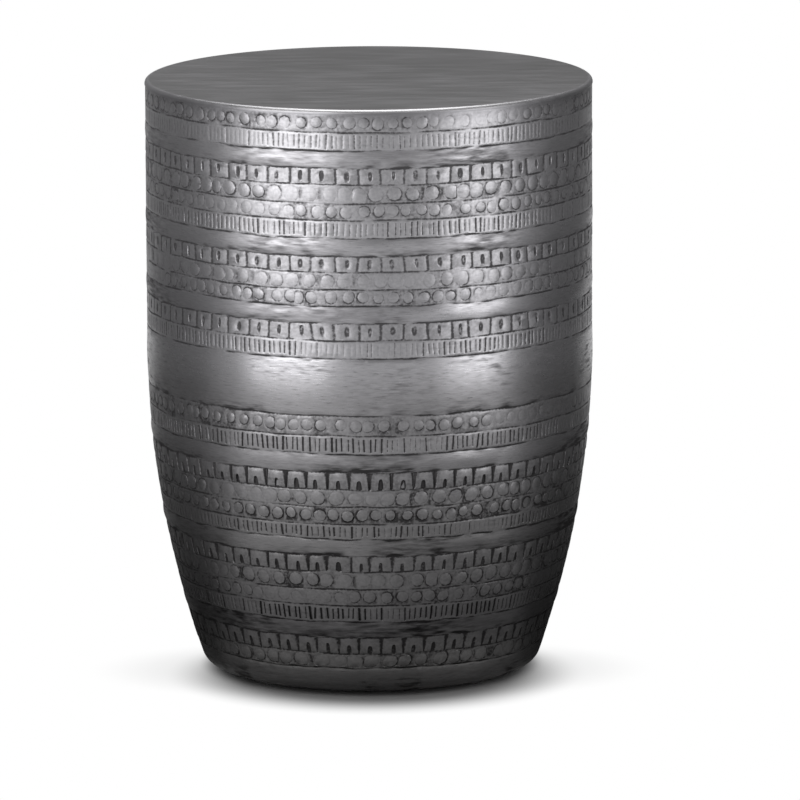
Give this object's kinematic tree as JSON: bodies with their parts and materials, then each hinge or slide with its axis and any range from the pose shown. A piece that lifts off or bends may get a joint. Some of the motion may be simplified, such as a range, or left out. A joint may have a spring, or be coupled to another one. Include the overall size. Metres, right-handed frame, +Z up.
{
  "type": "drum side table",
  "caption": "Round metal drum side table with a flat top, hand-punched bands and a belly that draws in to a rounded toe, open underneath on low glides.",
  "frame": {"origin": "on the floor, under the middle of the drum", "axes": "+Z up along the drum's axis, -Y towards the viewer of the picture"},
  "size_m": [0.3809, 0.381, 0.508],
  "materials": {
    "drum_sheet": "antiqued, darkened in the punched marks and towards the foot",
    "board": "raw MDF",
    "ring_steel": "black paint",
    "fastener_steel": "zinc plated",
    "glide_nylon": "moulded black nylon"
  },
  "bodies": {
    "root": {"top_plate": "drum_sheet", "upper_shell": "drum_sheet", "lower_shell": "drum_sheet", "top_board": "board", "rim_ring": "ring_steel", "waist_hoop": "ring_steel", "base_ring": "ring_steel", "top_screws": "fastener_steel", "top_washers": "fastener_steel", "base_glide_1": "glide_nylon", "base_glide_2": "glide_nylon", "base_glide_3": "glide_nylon", "base_glide_4": "glide_nylon", "glide_screws": "fastener_steel", "glide_washers": "fastener_steel", "glide_nuts": "fastener_steel"}
  },
  "joints": []
}
